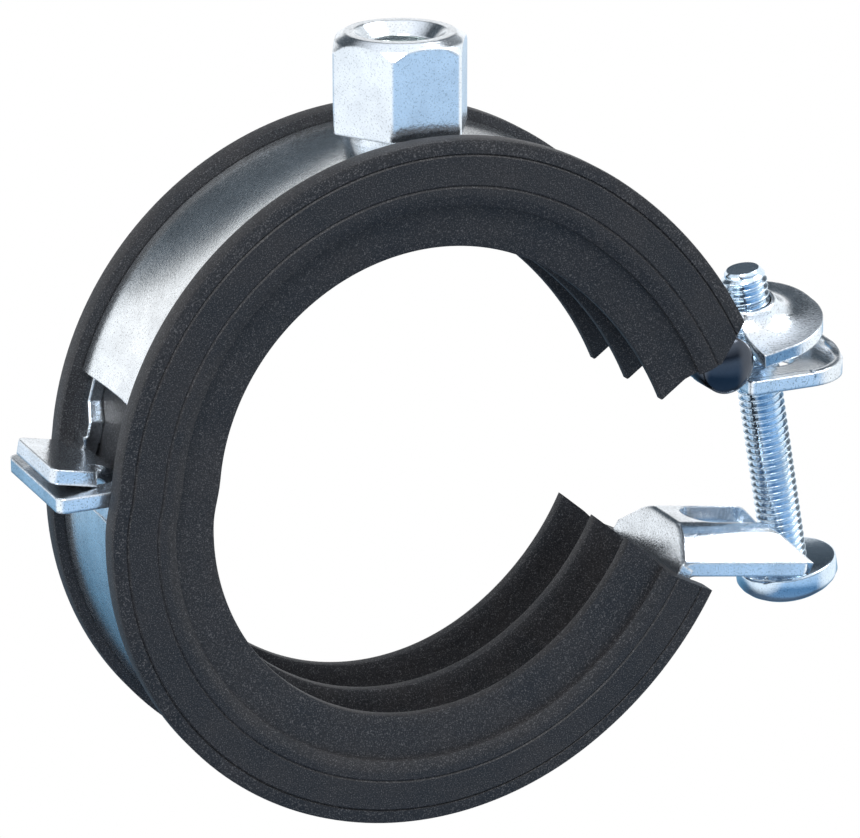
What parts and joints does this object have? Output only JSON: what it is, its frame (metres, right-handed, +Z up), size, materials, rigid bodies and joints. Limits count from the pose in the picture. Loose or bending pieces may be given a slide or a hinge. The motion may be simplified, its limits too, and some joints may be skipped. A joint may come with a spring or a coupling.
{
  "type": "pipe clamp",
  "caption": "Two-part steel pipe clamp with a ribbed rubber lining, a plate hinge, a closing screw that swings into an open fork, and a threaded hex boss to hang it by",
  "frame": {"origin": "centre of the round pipe seat in the upper half, at the middle of the strap's width", "axes": "+Y along the pipe, +Z up through the threaded boss, +X towards the closing screw"},
  "size_m": [0.0924, 0.02, 0.0822],
  "materials": {
    "zinc_steel": "bright zinc plated",
    "rubber": "matte"
  },
  "bodies": {
    "upper_half": {"upper_strap": "zinc_steel", "upper_lining": "rubber", "connection_boss": "zinc_steel"},
    "lower_half": {"lower_strap": "zinc_steel", "lower_lining": "rubber"},
    "nut_plate": {"nut_plate": "zinc_steel"},
    "closing_screw": {"closing_screw": "zinc_steel"}
  },
  "joints": [
    {"name": "lower_half_swing", "type": "hinge", "parent": "upper_half", "child": "lower_half", "pos_m": [-0.036, 0, 0.0026], "axis": [0, -1, 0], "range_deg": [-4, 5]},
    {"name": "nut_plate_rock", "type": "hinge", "parent": "upper_half", "child": "nut_plate", "pos_m": [0.0372, 0, 0.004], "axis": [0, -1, 0], "range_deg": [0, 20]},
    {"name": "screw_feed", "type": "slide", "parent": "nut_plate", "child": "closing_screw", "axis": [-0.1822, 0, 0.9833], "range_m": [-0.0056, 0.007]}
  ],
  "couplings": [
    {"joint": "screw_feed", "follows": "lower_half_swing", "m_per_rad": 0.074}
  ]
}
